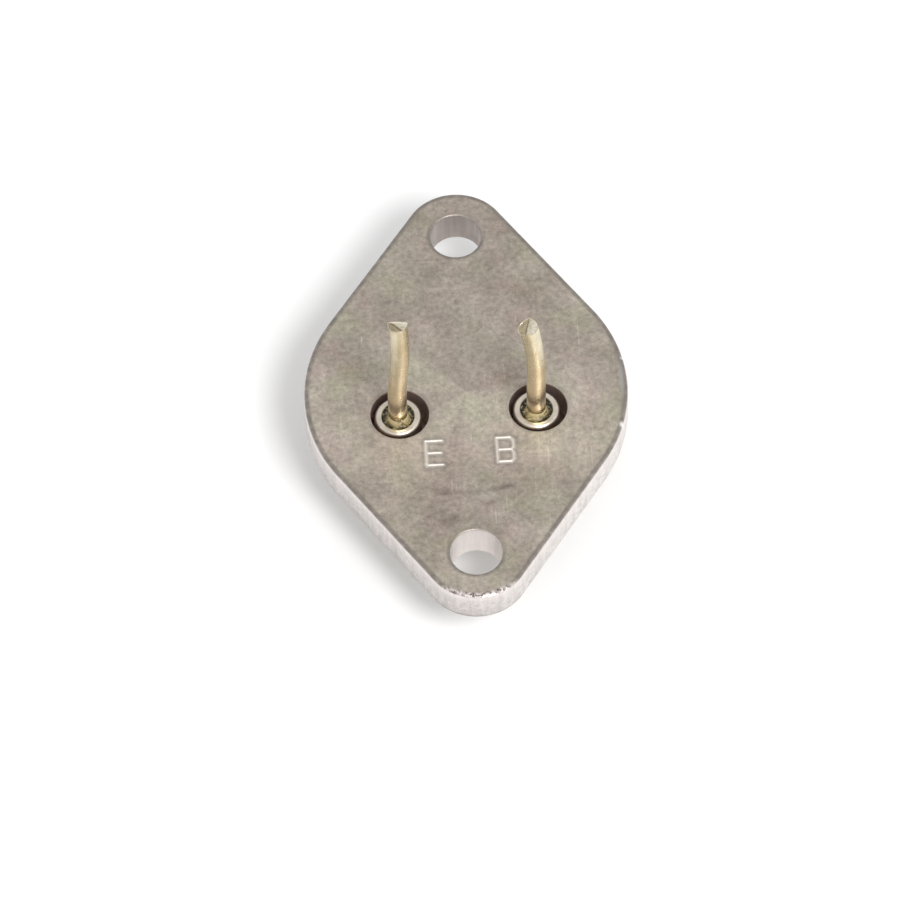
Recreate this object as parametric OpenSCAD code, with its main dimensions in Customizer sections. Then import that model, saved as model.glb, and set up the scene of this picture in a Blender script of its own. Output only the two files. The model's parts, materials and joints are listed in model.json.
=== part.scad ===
// Power transistor in a diamond-shaped metal case, lying on its can with the leads up.
// The origin is the centre of the seating face, the flat side that the leads come out of.
// +Z points out along the leads, X runs across them and Y from one mounting hole to the other.

/* [Header plate] */
// Distance between the centres of the two mounting holes
hole_spacing = 30.15; // [28:0.05:36.5]
// Diameter of each mounting hole
hole_d = 4.1; // [3:0.1:5]
// Radius of each ear, round its mounting hole
ear_r = 4.2; // [3.4:0.05:5.2]
// Radius of the wide middle of the plate
waist_r = 12.8; // [11.5:0.1:15.3]
// Thickness of the plate
plate_t = 3.1; // [2:0.1:4]
// Rounding of the outer edge on the lead side
face_edge_r = 0.25; // [0.1:0.05:0.5]
// Rounding of the outer edge on the can side
back_edge_r = 0.45; // [0.1:0.05:0.8]
// Chamfer at both mouths of every hole
hole_edge = 0.12; // [0.05:0.01:0.25]

/* [Lead seals] */
// Outer diameter of the eyelet's tube
eyelet_d = 3.7; // [3.1:0.05:4]
// Clearance between the eyelet and its hole in the plate, on the -X side
seal_gap_left = 0.32; // [0.2:0.01:0.5]
// Clearance between the eyelet and its hole in the plate, on the +X side
seal_gap_right = 0.60; // [0.2:0.01:0.7]
// Bore of the eyelet, which the glass fills
eyelet_bore = 2.56; // [2.2:0.02:2.8]
// Depth of the eyelet's outer end below the seating face
eyelet_recess = 0.27; // [0.1:0.01:0.5]
// Rounding of the eyelet's outer end
eyelet_edge_r = 0.14; // [0.05:0.01:0.2]
// Narrowest width of the eyelet's flange past its hole, where it is brazed to the plate
eyelet_land = 0.33; // [0.2:0.01:0.4]
// Thickness of that flange
eyelet_flange_t = 0.3; // [0.2:0.05:0.5]
// Distance from the ends of the eyelet to the glass
glass_setback = 0.1; // [0.05:0.01:0.3]
// Depth of the hollow that the glass face has between eyelet and lead
glass_dip = 0.12; // [0.05:0.01:0.2]

/* [Leads] */
// Distance between the two leads
lead_spacing = 10.92; // [10.5:0.02:11.4]
// Distance of the row of leads from the centre, towards the near ear
lead_row = 1.82; // [1.4:0.02:2.2]
// Diameter of a lead
lead_d = 1.5; // [0.9:0.05:1.8]
// Length of the emitter lead outside the seating face, measured along the wire
emitter_length = 12.5; // [9.5:0.05:14.5]
// Length of the base lead outside the seating face, measured along the wire
base_length = 11.2; // [9:0.05:14]
// Length of each lead inside the can, from the plate
post_length = 2.9; // [2.6:0.1:3.6]
// Chamfer round the inner end of a lead
post_edge = 0.2; // [0.05:0.05:0.3]
// Turn from +X of the ridge that the cutter leaves across the emitter lead's end, in degrees
emitter_ridge_turn = 172; // [0:1:180]
// Slopes of the end's two faces, to the left and to the right of that ridge, in degrees
emitter_end_slopes = [6, 50]; // [0:1:60]
// Turn from +X of the ridge across the base lead's end, in degrees
base_ridge_turn = 75; // [0:1:180]
// Slopes of the end's two faces, to the left and to the right of that ridge, in degrees
base_end_slopes = [24, 18]; // [0:1:60]

/* [Bends in the leads] */
// Height above the seating face where the emitter lead starts to bend
emitter_straight = 2.0; // [0.5:0.1:3]
// Angle of the emitter lead's first bend, towards +X
emitter_lean = 5.5; // [1:0.5:8]
// Radius of the emitter lead's first bend
emitter_lean_r = 35; // [20:1:40]
// Radius of the emitter lead's second bend, back towards -X
emitter_return_r = 45; // [25:1:80]
// Height above the seating face where the base lead starts to bend
base_straight = 2.4; // [0.5:0.1:3]
// Angle of the base lead's first bend, towards +X
base_lean = 2; // [1:0.5:8]
// Radius of the base lead's first bend
base_lean_r = 30; // [20:1:40]
// Radius of the base lead's second bend, back towards -X
base_return_r = 34; // [25:1:80]

/* [Can] */
// Height of the can, from the plate to its flat top
can_h = 5.4; // [4.8:0.1:8]
// Outer diameter of the can's wall
can_d = 19.8; // [18.7:0.1:21.4]
// Thickness of the can's sheet
can_t = 0.6; // [0.4:0.05:0.7]
// Outer radius where the wall turns into the flat top
can_corner_r = 1.5; // [0.9:0.1:2]
// Inner radius where the wall turns out into the welding flange
can_foot_r = 0.4; // [0.2:0.05:0.5]
// Width of the flat welding flange, past the turn
can_flange_w = 0.7; // [0.4:0.05:1]

/* [Chip and heat spreader] */
// Thickness of the brazed joints
braze_t = 0.08; // [0.05:0.01:0.15]
// Thickness of the soldered joints
solder_t = 0.1; // [0.05:0.01:0.2]
// Width of the copper heat spreader, along X
spreader_w = 7.2; // [6.6:0.1:7.3]
// Length of the heat spreader, along Y
spreader_l = 6.9; // [6.2:0.1:7]
// Thickness of the heat spreader
spreader_t = 1.0; // [0.5:0.1:1.3]
// Corner cut of the heat spreader
spreader_cut = 0.8; // [0.2:0.1:1.5]
// Distance of the heat spreader's centre from the case's centre, towards the far ear
spreader_y = 4.35; // [4.2:0.05:4.5]
// Side of the square silicon chip
die_w = 5.1; // [4.8:0.1:6]
// Thickness of the chip
die_t = 0.32; // [0.2:0.02:0.5]

/* [Connecting clips] */
// Thickness of the strip that both clips are stamped from
clip_t = 0.25; // [0.15:0.05:0.35]
// Width of the emitter clip
emitter_clip_w = 1.6; // [1:0.1:1.9]
// Width of the base clip
base_clip_w = 1.0; // [0.8:0.1:1.3]
// Diameter of the round tab that each clip has about its lead
clip_tab_d = 3.0; // [2.6:0.1:3.4]
// Clearance all round the lead in the tab's hole
clip_clear = 0.05; // [0.02:0.01:0.1]
// Height of the tab above the plate
clip_tab_z = 2.15; // [2:0.05:2.4]
// Length of the foot that is soldered to the chip
clip_foot_l = 1.4; // [1:0.1:1.6]
// Steepness of the step from tab to foot, in degrees
clip_step = 35; // [20:1:60]
// Bend radius of the clips, at the middle of the strip
clip_bend_r = 0.4; // [0.25:0.05:0.5]
// Middle of the emitter contact, from the chip's centre
emitter_contact = [-0.9, 0]; // [-1.2:0.1:1.2]
// Middle of the base contact, from the chip's centre
base_contact = [1.5, -1.0]; // [-1.6:0.1:1.6]
// Width and height of the solder collar about each lead
collar = 0.5; // [0.3:0.05:0.6]

/* [Hidden] */
$fn = 96;

// Colours of the bare materials
nickel = [0.66, 0.63, 0.58];
gold = [0.86, 0.76, 0.52];
glass_green = [0.12, 0.16, 0.10];
copper = [0.72, 0.45, 0.32];
silicon = [0.30, 0.32, 0.38];
tin = [0.72, 0.72, 0.74];
braze_silver = [0.80, 0.77, 0.70];

// Overlap of a cutting tool past the face that it cuts
past = 1;

// Length of wire past a lead's ridge, which the clipped end takes off
clip_spare = 0.4;

// Where the leads stand
emitter_pos = [-lead_spacing / 2, -lead_row];
base_pos = [lead_spacing / 2, -lead_row];

// Distance of each mounting hole from the centre
ear_y = hole_spacing / 2;

// Hole about each eyelet, with its centre's shift from the eyelet's, and the flange that covers it
seal_hole_d = eyelet_d + seal_gap_left + seal_gap_right;
seal_hole_shift = [(seal_gap_right - seal_gap_left) / 2, 0];
eyelet_flange_d = seal_hole_d + 2 * (abs(seal_hole_shift.x) + hole_edge + eyelet_land);

// Heights inside the can, measured from the plate
flange_top = braze_t + eyelet_flange_t;
spreader_top = braze_t + spreader_t;
die_bottom = spreader_top + solder_t;
die_top = die_bottom + die_t;
foot_z = die_top + solder_t;
spreader_pos = [0, spreader_y];

// Margin of the solder round the chip and beside each foot
solder_rim = 0.1;
// Flats that make up each bend of a clip
bend_steps = 6;
// Thickness that the collar's hollow face leaves at its thin edges
collar_land = 0.06;
// Flat land between the glass's hollow and the metal beside it
glass_land = 0.04;

// Turns the space above the plate's back over, so that z counts into the can
module inside_can() {
    translate([0, 0, -plate_t])
        mirror([0, 0, 1])
            children();
}

// Quarter of a disc in the corner of the given signs
module quarter_disc(r, sx = 1, sy = 1) {
    intersection() {
        circle(r = r);
        translate([sx > 0 ? 0 : -r, sy > 0 ? 0 : -r])
            square(r);
    }
}

// Quarter of a ring of sheet metal that starts along +X and ends along +Y
module quarter_ring(outer_r, t) {
    difference() {
        quarter_disc(outer_r);
        circle(r = outer_r - t);
    }
}

// Section of the plate from the seating face down, rounded where it ends at x = width
module plate_section(width) {
    translate([0, -face_edge_r])
        square([width - face_edge_r, face_edge_r]);
    translate([width - face_edge_r, -face_edge_r])
        quarter_disc(face_edge_r);
    translate([0, back_edge_r - plate_t])
        square([width, plate_t - face_edge_r - back_edge_r]);
    translate([0, -plate_t])
        square([width - back_edge_r, back_edge_r]);
    translate([width - back_edge_r, back_edge_r - plate_t])
        quarter_disc(back_edge_r, 1, -1);
}

// Disc as thick as the plate, with the plate's rounded edge
module plate_disc(r) {
    rotate_extrude($fn = 80)
        plate_section(r, $fn = 24);
}

// Hole down through the plate with a small chamfer at both mouths
module plate_hole(d) {
    translate([0, 0, -plate_t - past])
        cylinder(d = d, h = plate_t + 2 * past);
    translate([0, 0, -hole_edge])
        cylinder(d1 = d, d2 = d + 2 * (hole_edge + past), h = hole_edge + past);
    translate([0, 0, -plate_t - past])
        cylinder(d1 = d + 2 * (hole_edge + past), d2 = d, h = hole_edge + past);
}

module header_plate() {
    color(nickel)
        difference() {
            hull() {
                plate_disc(waist_r);
                for (y = [-ear_y, ear_y])
                    translate([0, y, 0])
                        plate_disc(ear_r);
            }
            for (y = [-ear_y, ear_y])
                translate([0, y, 0])
                    plate_hole(hole_d);
            for (pos = [emitter_pos, base_pos])
                translate(pos + seal_hole_shift)
                    plate_hole(seal_hole_d);
        }
}

// Drawn can: flat top, turned corner, straight wall, and a foot that turns out into the flange
module can() {
    wall_r = can_d / 2;
    foot_x = wall_r + can_foot_r;
    foot_top = can_foot_r + can_t;
    color(nickel)
        inside_can()
            rotate_extrude() {
                translate([foot_x, 0])
                    square([can_flange_w, can_t]);
                translate([foot_x, foot_top])
                    rotate(180)
                        quarter_ring(foot_top, can_t);
                translate([wall_r - can_t, foot_top])
                    square([can_t, can_h - can_corner_r - foot_top]);
                translate([wall_r - can_corner_r, can_h - can_corner_r])
                    quarter_ring(can_corner_r, can_t);
                translate([0, can_h - can_t])
                    square([wall_r - can_corner_r, can_t]);
            }
}

// Eyelet: a tube through the plate's hole with a flange inside the can
module eyelet(pos) {
    tube_top = plate_t - eyelet_recess;
    color(nickel)
        translate([pos.x, pos.y, -plate_t])
            rotate_extrude() {
                translate([eyelet_bore / 2, -flange_top])
                    square([(eyelet_flange_d - eyelet_bore) / 2, eyelet_flange_t]);
                translate([eyelet_bore / 2, -braze_t])
                    square([(eyelet_d - eyelet_bore) / 2, tube_top - eyelet_edge_r + braze_t]);
                translate([eyelet_bore / 2 + eyelet_edge_r, tube_top - eyelet_edge_r])
                    square([(eyelet_d - eyelet_bore) / 2 - 2 * eyelet_edge_r, eyelet_edge_r]);
                translate([eyelet_d / 2 - eyelet_edge_r, tube_top - eyelet_edge_r])
                    quarter_disc(eyelet_edge_r);
                translate([eyelet_bore / 2 + eyelet_edge_r, tube_top - eyelet_edge_r])
                    quarter_disc(eyelet_edge_r, -1, 1);
            }
}

module emitter_eyelet() {
    eyelet(emitter_pos);
}

module base_eyelet() {
    eyelet(base_pos);
}

// Ring of braze between the eyelet's flange and the back of the plate
module eyelet_braze(pos) {
    color(braze_silver)
        inside_can()
            translate(pos)
                difference() {
                    cylinder(d = eyelet_flange_d, h = braze_t);
                    translate([seal_hole_shift.x, seal_hole_shift.y, -past])
                        cylinder(d = seal_hole_d + 2 * hole_edge, h = braze_t + 2 * past);
                }
}

module emitter_eyelet_braze() {
    eyelet_braze(emitter_pos);
}

module base_eyelet_braze() {
    eyelet_braze(base_pos);
}

// Section of the glass between lead and eyelet, with a hollow in both of its faces
module glass_section(height) {
    width = (eyelet_bore - lead_d) / 2;
    half = width / 2 - glass_land;
    hollow_r = (half * half + glass_dip * glass_dip) / (2 * glass_dip);
    difference() {
        translate([lead_d / 2, 0])
            square([width, height]);
        for (y = [glass_dip - hollow_r, height - glass_dip + hollow_r])
            translate([lead_d / 2 + width / 2, y])
                circle(r = hollow_r);
    }
}

module glass_bead(pos) {
    bottom = -plate_t - flange_top + glass_setback;
    top = -eyelet_recess - glass_setback;
    color(glass_green)
        translate([pos.x, pos.y, bottom])
            rotate_extrude()
                glass_section(top - bottom);
}

module emitter_glass() {
    glass_bead(emitter_pos);
}

module base_glass() {
    glass_bead(base_pos);
}

// Direction to the right of a wire that heads away from +Z towards +X by the angle
function wire_right(heading) = [cos(heading), 0, -sin(heading)];

// End of an arc that leaves a point on a heading and bends by the angle
function arc_end(from, heading, bend, r) =
    from + sign(bend) * r * (wire_right(heading) - wire_right(heading + bend));

// Moves by whole thousandths and then by the rest, so that an arc's centre keeps all its digits
module exact_shift(v) {
    whole = [for (x = v) round(x * 1000) / 1000];
    translate(whole)
        translate(v - whole)
            children();
}

// Bent stretch of wire that leaves a point on a heading
module wire_arc(from, heading, bend, r) {
    first = bend < 0 ? -heading : 180 - heading - bend;
    exact_shift(from + sign(bend) * r * wire_right(heading))
        rotate([90, 0, 0])
            rotate_extrude(angle = abs(bend), start = first)
                translate([r, 0])
                    circle(d = lead_d);
}

// Everything past the two faces that a cutter leaves, with the ridge where it closed at z = 0
module cut_off(ridge_turn, slopes) {
    drops = [for (slope = slopes) lead_d * tan(slope)];
    rotate([0, 0, ridge_turn - 90])
        rotate([90, 0, 0])
            linear_extrude(2 * lead_d, center = true)
                polygon([
                    [0, 0], [lead_d, -drops[1]], [lead_d, lead_d],
                    [-lead_d, lead_d], [-lead_d, -drops[0]]
                ]);
}

// Lead: a chamfered post inside the can, straight through the glass, then a bend each way
module lead(pos, length, straight, lean, lean_r, return_r, ridge_turn, end_slopes) {
    back_angle = (length - straight) / return_r * 180 / PI - lean * lean_r / return_r;
    spare_angle = clip_spare / return_r * 180 / PI;
    start = [0, 0, straight];
    mid = arc_end(start, 0, lean, lean_r);
    tip = arc_end(mid, lean, -back_angle, return_r);
    color(gold)
        translate([pos.x, pos.y, 0]) {
            translate([0, 0, -plate_t - post_length])
                cylinder(d1 = lead_d - 2 * post_edge, d2 = lead_d, h = post_edge);
            translate([0, 0, post_edge - plate_t - post_length])
                cylinder(d = lead_d, h = straight + plate_t + post_length - post_edge);
            wire_arc(start, 0, lean, lean_r);
            difference() {
                wire_arc(mid, lean, -back_angle - spare_angle, return_r);
                translate(tip)
                    rotate([0, lean - back_angle, 0])
                        cut_off(ridge_turn, end_slopes);
            }
        }
}

module emitter_lead() {
    lead(emitter_pos, emitter_length, emitter_straight, emitter_lean, emitter_lean_r,
        emitter_return_r, emitter_ridge_turn, emitter_end_slopes);
}

module base_lead() {
    lead(base_pos, base_length, base_straight, base_lean, base_lean_r,
        base_return_r, base_ridge_turn, base_end_slopes);
}

// Outline of the heat spreader, with its corners cut
module spreader_outline() {
    x = spreader_w / 2;
    y = spreader_l / 2;
    polygon([
        [x - spreader_cut, -y], [x, spreader_cut - y], [x, y - spreader_cut], [x - spreader_cut, y],
        [spreader_cut - x, y], [-x, y - spreader_cut], [-x, spreader_cut - y], [spreader_cut - x, -y]
    ]);
}

module spreader_braze() {
    color(braze_silver)
        inside_can()
            translate(spreader_pos)
                linear_extrude(braze_t)
                    spreader_outline();
}

module heat_spreader() {
    color(copper)
        inside_can()
            translate([spreader_pos.x, spreader_pos.y, braze_t])
                linear_extrude(spreader_t)
                    spreader_outline();
}

// Square slab on the heat spreader, between two heights
module die_slab(width, bottom, thickness) {
    inside_can()
        translate([spreader_pos.x - width / 2, spreader_pos.y - width / 2, bottom])
            cube([width, width, thickness]);
}

module die_solder() {
    color(tin)
        die_slab(die_w + 2 * solder_rim, spreader_top, solder_t);
}

module die() {
    color(silicon)
        die_slab(die_w, die_bottom, die_t);
}

// Unit vector along a heading in the plane
function heading_dir(h) = [cos(h), sin(h)];

// Unit vector to the left of that heading
function heading_left(h) = [-sin(h), cos(h)];

// Middle line of a strip that bends after each leg, by the next angle: [point, heading] pairs
function strip_line(legs, bends, r, at = [0, 0], heading = 0, i = 0) =
    let (end = at + legs[i] * heading_dir(heading))
    i == len(bends) ? [[end, heading]] :
    let (
        side = bends[i] < 0 ? -1 : 1,
        centre = end + side * r * heading_left(heading),
        arc = [
            for (step = [1:bend_steps])
                let (h = heading + bends[i] * step / bend_steps)
                [centre - side * r * heading_left(h), h]
        ]
    )
    concat([[end, heading]], arc,
        strip_line(legs, bends, r, arc[bend_steps - 1][0], heading + bends[i], i + 1));

// Section of that strip, from the start of its first leg
module strip_section(t, legs, bends, r) {
    line = concat([[[0, 0], 0]], strip_line(legs, bends, r));
    last = len(line) - 1;
    polygon(concat(
        [for (i = [0:last]) line[i][0] + t / 2 * heading_left(line[i][1])],
        [for (i = [last:-1:0]) line[i][0] - t / 2 * heading_left(line[i][1])]
    ));
}

// Clip: a tab about the lead, a step down, and a foot over the contact on the chip
module clip(pos, contact, width) {
    way = spreader_pos + contact - pos;
    drop = clip_tab_z - foot_z;
    slope = (drop - 2 * clip_bend_r * (1 - cos(clip_step))) / sin(clip_step);
    step_run = 2 * clip_bend_r * sin(clip_step) + slope * cos(clip_step);
    tab_leg = norm(way) - clip_foot_l / 2 - step_run;
    color(tin)
        inside_can()
            translate([pos.x, pos.y, clip_tab_z])
                rotate([0, 0, atan2(way.y, way.x)])
                    difference() {
                        union() {
                            translate([0, 0, clip_t / 2])
                                rotate([90, 0, 0])
                                    linear_extrude(width, center = true)
                                        strip_section(clip_t, [tab_leg, slope, clip_foot_l],
                                            [-clip_step, clip_step], clip_bend_r);
                            cylinder(d = clip_tab_d, h = clip_t);
                        }
                        translate([0, 0, -past])
                            cylinder(d = lead_d + 2 * clip_clear, h = clip_t + 2 * past);
                    }
}

module emitter_clip() {
    clip(emitter_pos, emitter_contact, emitter_clip_w);
}

module base_clip() {
    clip(base_pos, base_contact, base_clip_w);
}

// Solder between a clip's foot and the chip
module contact_solder(pos, contact, width) {
    way = spreader_pos + contact - pos;
    at = spreader_pos + contact;
    size = [clip_foot_l, width + 2 * solder_rim, solder_t];
    color(tin)
        inside_can()
            translate([at.x, at.y, die_top])
                rotate([0, 0, atan2(way.y, way.x)])
                    translate([-size.x / 2, -size.y / 2, 0])
                        cube(size);
}

module emitter_contact_solder() {
    contact_solder(emitter_pos, emitter_contact, emitter_clip_w);
}

module base_contact_solder() {
    contact_solder(base_pos, base_contact, base_clip_w);
}

// Collar of solder on the clip's tab, hollow between the tab and the lead
module post_solder(pos) {
    color(tin)
        inside_can()
            translate([pos.x, pos.y, clip_tab_z + clip_t])
                rotate_extrude()
                    translate([lead_d / 2, 0])
                        difference() {
                            square(collar);
                            translate([collar, collar])
                                circle(r = collar - collar_land);
                        }
}

module emitter_post_solder() {
    post_solder(emitter_pos);
}

module base_post_solder() {
    post_solder(base_pos);
}

header_plate();
can();
emitter_eyelet();
base_eyelet();
emitter_eyelet_braze();
base_eyelet_braze();
emitter_glass();
base_glass();
emitter_lead();
base_lead();
spreader_braze();
heat_spreader();
die_solder();
die();
emitter_clip();
base_clip();
emitter_contact_solder();
base_contact_solder();
emitter_post_solder();
base_post_solder();
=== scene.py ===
import json

import bmesh
import bpy
import numpy as np
from mathutils import Matrix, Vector
from mathutils.geometry import delaunay_2d_cdt


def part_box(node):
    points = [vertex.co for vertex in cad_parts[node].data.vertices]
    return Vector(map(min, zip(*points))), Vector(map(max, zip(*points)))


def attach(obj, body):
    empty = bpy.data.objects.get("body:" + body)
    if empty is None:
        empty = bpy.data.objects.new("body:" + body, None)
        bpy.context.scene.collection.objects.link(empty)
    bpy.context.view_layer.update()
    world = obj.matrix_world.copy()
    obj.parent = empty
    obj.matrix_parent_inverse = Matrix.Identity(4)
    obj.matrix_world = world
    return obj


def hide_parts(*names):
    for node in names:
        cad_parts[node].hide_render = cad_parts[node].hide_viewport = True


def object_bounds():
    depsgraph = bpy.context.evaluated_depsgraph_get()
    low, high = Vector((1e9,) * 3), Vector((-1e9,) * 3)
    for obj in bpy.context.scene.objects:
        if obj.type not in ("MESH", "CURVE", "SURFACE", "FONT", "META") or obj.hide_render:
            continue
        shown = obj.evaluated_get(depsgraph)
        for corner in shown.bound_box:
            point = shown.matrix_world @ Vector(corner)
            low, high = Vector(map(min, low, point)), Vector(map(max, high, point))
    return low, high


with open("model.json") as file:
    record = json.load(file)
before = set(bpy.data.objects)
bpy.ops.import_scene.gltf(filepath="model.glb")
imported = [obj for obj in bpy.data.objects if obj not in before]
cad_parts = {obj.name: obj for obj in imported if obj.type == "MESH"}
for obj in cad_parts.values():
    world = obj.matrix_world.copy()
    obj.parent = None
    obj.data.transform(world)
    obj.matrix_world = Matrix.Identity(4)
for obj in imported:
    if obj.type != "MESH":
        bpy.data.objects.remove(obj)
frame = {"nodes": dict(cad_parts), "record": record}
cad_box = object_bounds()
mm = 0.001

# ---- Camera ----------------------------------------------------------------------------
# A long lens looks steeply down on the leads, from the side of the near mounting hole.
# It leans a little, so the part stands slightly clockwise in view.

camera_distance = 501.7 * mm
camera_aim = np.array([-0.92, -5.53, 0]) * mm
camera_height = np.radians(56.40)
camera_swing = np.radians(1.75)
camera_lean = np.radians(-1.58)
film_width = 36
lens_length = 251.4
lens_nearest = 0.01
lens_farthest = 10

looking = np.array([
    np.cos(camera_height) * np.sin(camera_swing),
    np.cos(camera_height) * np.cos(camera_swing),
    -np.sin(camera_height),
])
level = np.array([np.cos(camera_swing), -np.sin(camera_swing), 0])
rightward = np.cos(camera_lean) * level + np.sin(camera_lean) * np.cross(level, looking)
upward = np.cross(rightward, looking)
camera_place = np.eye(4)
camera_eye = camera_aim - camera_distance * looking
camera_place[:3, :4] = np.array([rightward, upward, -looking, camera_eye]).T

lens = bpy.data.cameras.new("camera")
lens.sensor_width = film_width
lens.lens = lens_length
lens.clip_start = lens_nearest
lens.clip_end = lens_farthest
camera = bpy.data.objects.new("camera", lens)
camera.matrix_world = Matrix(camera_place.tolist())
bpy.context.collection.objects.link(camera)
bpy.context.scene.camera = camera
bpy.context.scene.view_settings.view_transform = "Standard"

# ---- White table, room and lamp --------------------------------------------------------
# The part lies on its can on a plain white table. One soft lamp, high in front and to the right,
# throws its shadow to the back left. The room is white round the table and greyer overhead.

table_reach = 0.6
table_colour = (0.86, 0.86, 0.86, 1)
table_glow = 0.12
table_gap = 0.02 * mm
touching = 0.3 * mm
wall_light = 1.0
ceiling_light = 0.62
wall_top = 0.15
ceiling_edge = 0.85
lamp_power = 1.5
lamp_size = 0.15
lamp_place = np.array([0.134, -0.267, 0.404])


def shader_node(material, kind, *inputs, **named):
    """Adds one shader node. Positional inputs fill its sockets in order, a keyword that begins with a
    capital names a socket, and any other keyword sets a property of the node."""
    tree = material.node_tree
    made = tree.nodes.new("ShaderNode" + kind)
    wanted = list(enumerate(inputs))
    for key, value in named.items():
        if key[0].isupper():
            wanted.append((key.replace("_", " "), value))
        else:
            setattr(made, key, value)
    for key, value in wanted:
        if isinstance(value, bpy.types.Node):
            value = value.outputs[0]
        if isinstance(value, bpy.types.NodeSocket):
            tree.links.new(value, made.inputs[key])
        else:
            made.inputs[key].default_value = value
    return made


def maths(material, operation, *values, **named):
    """One arithmetic node."""
    return shader_node(material, "Math", *values, operation=operation, **named)


def bare_material(name):
    """A material with only its output node; returns both."""
    material = bpy.data.materials.new(name)
    material.use_nodes = True
    material.node_tree.nodes.clear()
    return material, shader_node(material, "OutputMaterial")


def shape(name, points, faces, material):
    """A smooth-shaded object at the origin from an array of points in metres and a list of faces."""
    mesh = bpy.data.meshes.new(name)
    mesh.from_pydata(points, [], faces)
    mesh.materials.append(material)
    mesh.shade_smooth()
    made = bpy.data.objects.new(name, mesh)
    bpy.context.collection.objects.link(made)
    return made


table_white, surface_out = bare_material("white_table")
ray = shader_node(table_white, "LightPath")
seen = maths(table_white, "ADD", ray.outputs["Is Camera Ray"], ray.outputs["Is Glossy Ray"])
seen = maths(table_white, "ADD", seen, ray.outputs["Is Transmission Ray"])
glow = maths(table_white, "MULTIPLY", seen, table_glow)
matt = shader_node(table_white, "BsdfDiffuse", Color=table_colour)
lit = shader_node(table_white, "AddShader", matt, shader_node(table_white, "Emission", Strength=glow))
# The table is clear from below, and for rays that have only just left the can standing on it.
from_below = shader_node(table_white, "NewGeometry").outputs["Backfacing"]
resting = maths(table_white, "LESS_THAN", ray.outputs["Ray Length"], touching)
unseen = maths(table_white, "MAXIMUM", from_below, resting)
one_sided = shader_node(table_white, "MixShader", unseen, lit, shader_node(table_white, "BsdfTransparent"))
table_white.node_tree.links.new(one_sided.outputs[0], surface_out.inputs["Surface"])

table_top = cad_box[0].z - table_gap
corner = np.array([[-1, -1, 0], [1, -1, 0], [1, 1, 0], [-1, 1, 0]]) * table_reach + [0, 0, table_top]
table = shape("table", corner.tolist(), [(0, 1, 2, 3)], table_white)

room = bpy.data.worlds.new("room")
room.use_nodes = True
room.node_tree.nodes.clear()
bpy.context.scene.world = room
height = shader_node(room, "SeparateXYZ", shader_node(room, "TexCoord").outputs["Generated"]).outputs["Z"]
brightness = shader_node(room, "MapRange", height, wall_top, ceiling_edge, wall_light, ceiling_light)
background = shader_node(room, "Background", Color=(1, 1, 1, 1), Strength=brightness)
shader_node(room, "OutputWorld", Surface=background)

soft_lamp = bpy.data.lights.new("soft_lamp", "AREA")
soft_lamp.shape = "DISK"
soft_lamp.size = lamp_size
soft_lamp.energy = lamp_power
lamp = bpy.data.objects.new("soft_lamp", soft_lamp)
lamp_back = lamp_place / np.linalg.norm(lamp_place)
lamp_side = np.cross([0, 0, 1], lamp_back)
lamp_side /= np.linalg.norm(lamp_side)
lamp_frame = np.eye(4)
lamp_frame[:3, :4] = np.array([lamp_side, np.cross(lamp_back, lamp_side), lamp_back, lamp_place]).T
lamp.matrix_world = Matrix(lamp_frame.tolist())
bpy.context.collection.objects.link(lamp)

# ---- Header plate ----------------------------------------------------------------------
# A rhombus punched from thick steel strip, with two mounting holes and two lead holes, tumbled
# and nickel plated. Its sheared edge is bright, and its face is matt from handling.
# E and B are stamped into the seating face to tell the two leads apart.

plate_low, plate_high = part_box("header_plate")
mounts = {mount["name"]: mount for mount in frame["record"]["mounts"]}
waist_r = plate_high.x
plate_t = -plate_low.z
ear_y = mounts["far_hole"]["pos_m"][1]
ear_r = plate_high.y - ear_y
side_turn = np.arcsin((waist_r - ear_r) / ear_y)
mounting_r = mounts["far_hole"]["dims"]["r_mm"] * mm
lead_hole_r = 2.31 * mm
lead_hole_shift = 0.14 * mm
emitter_place = np.array(mounts["emitter_lead"]["pos_m"][:2])
base_place = np.array(mounts["base_lead"]["pos_m"][:2])
face_edge_r = 0.25 * mm
back_edge_r = 0.45 * mm
hole_edge_r = 0.12 * mm
edge_land = 0.04 * mm

waist_steps = 64
side_steps = 48
ear_steps = 72
mounting_steps = 72
lead_hole_steps = 80
face_margin = 0.62 * mm
face_grid = 0.34 * mm
row_share = 0.98
back_grid = 2.2 * face_grid
letter_grid = 0.036 * mm
letter_margin = 0.35 * mm
sliver = (0.001 * mm) ** 2
same_point = 1e-8
no_length = 1e-9

# Grime and painted shade along the rounded edges: the band it reaches onto the face, its deepest point and
# its fade.
dirt_shade_band = 0.26 * mm
dirt_shade_deepest = 0.16 * mm
dirt_shade_fade = 0.10 * mm
# Where the near ear's tip turns from grime and shade to wear with painted glints.
wear_glint_from = 17.9 * mm
wear_glint_fade = 0.7 * mm
# Painted light level of each bore's wall: near and far mounting hole, then emitter and base lead hole.
bore_light_levels = (1.0, 0.65, 0.3, 0.3)

weld_r = 9.6 * mm
weld_width = 0.3 * mm
weld_sink = 0.02 * mm
stamp_depth = 0.06 * mm
stamp_half_width = 0.078 * mm
stamp_lip = 0.012 * mm
roll_height = 0.006 * mm
rim_roll = 0.3
stroke_bright = 0.11 * mm
beside_stroke = 0.26 * mm
beside_fade = 0.12 * mm
letter_height = 2.25 * mm
letter_foot = -6.86 * mm


def quarter_turn(r, steps=7):
    """Inset and drop of the points of a rounded edge, from the flat face to the wall: the radius less its
    share by the sine, and by the cosine, of an angle that goes from 0 to 90 degrees."""
    a = np.linspace(0, np.pi / 2, steps)
    return r * (1 - np.sin(a)), r * (1 - np.cos(a))


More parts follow.
